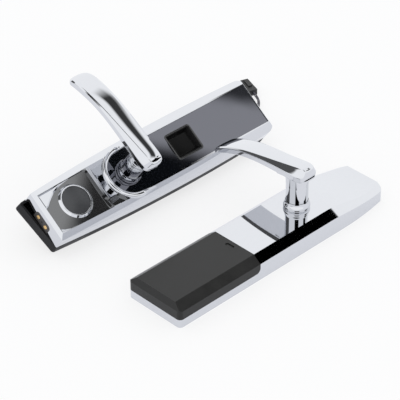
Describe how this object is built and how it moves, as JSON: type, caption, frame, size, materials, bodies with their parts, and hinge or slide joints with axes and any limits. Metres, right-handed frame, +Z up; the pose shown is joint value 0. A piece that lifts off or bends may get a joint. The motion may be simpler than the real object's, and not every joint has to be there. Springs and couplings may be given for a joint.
{
  "type": "fingerprint door lock set",
  "caption": "Fingerprint door lock set: chrome outside half with reader panel, key cover and lever, leaning on its fixing posts, beside the inside half with its lever and battery cover.",
  "frame": {"origin": "on the back face of the inside half, where the spindle axis passes it; this is also the surface the set lies on", "axes": "+X along both long plates, from the battery end of the inside half to its plain end; +Y from the inside half to the outside half; +Z up"},
  "size_m": [0.3666, 0.2594, 0.1301],
  "materials": {
    "bright_chrome": "polished",
    "steel": "plain",
    "cell_sleeve": "printed sleeve left bare",
    "cover_plastic": "satin",
    "black_plastic": "fine texture",
    "grey_plastic": "fine texture",
    "panel_gloss": "mirror gloss",
    "key_gloss": "gloss",
    "reader_gloss": "gloss",
    "board": "circuit board",
    "brass_body": "machined",
    "gilt": "gilt",
    "lead_sleeve": "soft sleeve",
    "grommet_rubber": "soft"
  },
  "bodies": {
    "set": {"battery_cells": "cell_sleeve", "battery_contacts": "steel", "battery_holder": "black_plastic", "finger_well": "black_plastic", "front_base": "black_plastic", "front_bead": "bright_chrome", "front_board": "board", "front_case": "bright_chrome", "front_panel": "panel_gloss", "front_posts": "steel", "front_screws": "steel", "front_spring": "steel", "key_barrel": "brass_body", "key_panel": "key_gloss", "key_ring": "bright_chrome", "lead_cord": "lead_sleeve", "lead_grommet": "grommet_rubber", "lead_plug": "black_plastic", "power_block": "grey_plastic", "power_pins": "gilt", "reader_module": "black_plastic", "reader_window": "reader_gloss", "rear_bead": "bright_chrome", "rear_board": "board", "rear_case": "bright_chrome", "rear_plate": "steel", "rear_screws": "steel", "rear_spring": "steel"},
    "outside_lever": {"front_lever": "bright_chrome", "front_clip": "steel", "front_grub": "steel", "front_spindle": "steel"},
    "inside_lever": {"rear_lever": "bright_chrome", "rear_clip": "steel", "rear_grub": "steel"},
    "battery_cover": {"battery_cover": "cover_plastic"},
    "key_cap": {"key_cap": "key_gloss"},
    "key_plug": {"key_plug": "brass_body"}
  },
  "joints": [
    {"name": "outside_lever_turn", "type": "hinge", "parent": "set", "child": "outside_lever", "pos_m": [-0.0966, 0.15612, 0.0207], "axis": [0, -0.5914, 0.8064], "range_deg": [-45, 45], "stiffness_Nm_per_rad": 1.5},
    {"name": "inside_lever_turn", "type": "hinge", "parent": "set", "child": "inside_lever", "pos_m": [0, 0, 0.0254], "axis": [0, 0, 1], "range_deg": [-45, 45], "stiffness_Nm_per_rad": 1.5},
    {"name": "battery_cover_slide", "type": "slide", "parent": "set", "child": "battery_cover", "axis": [-1, 0, 0], "range_m": [0, 0.115]},
    {"name": "key_cap_lift", "type": "slide", "parent": "set", "child": "key_cap", "axis": [0, -0.5914, 0.8064], "range_m": [0, 0.025]},
    {"name": "key_plug_turn", "type": "hinge", "parent": "set", "child": "key_plug", "pos_m": [-0.1656, 0.1388, 0.04433], "axis": [0, -0.5914, 0.8064], "range_deg": [0, 90]}
  ]
}
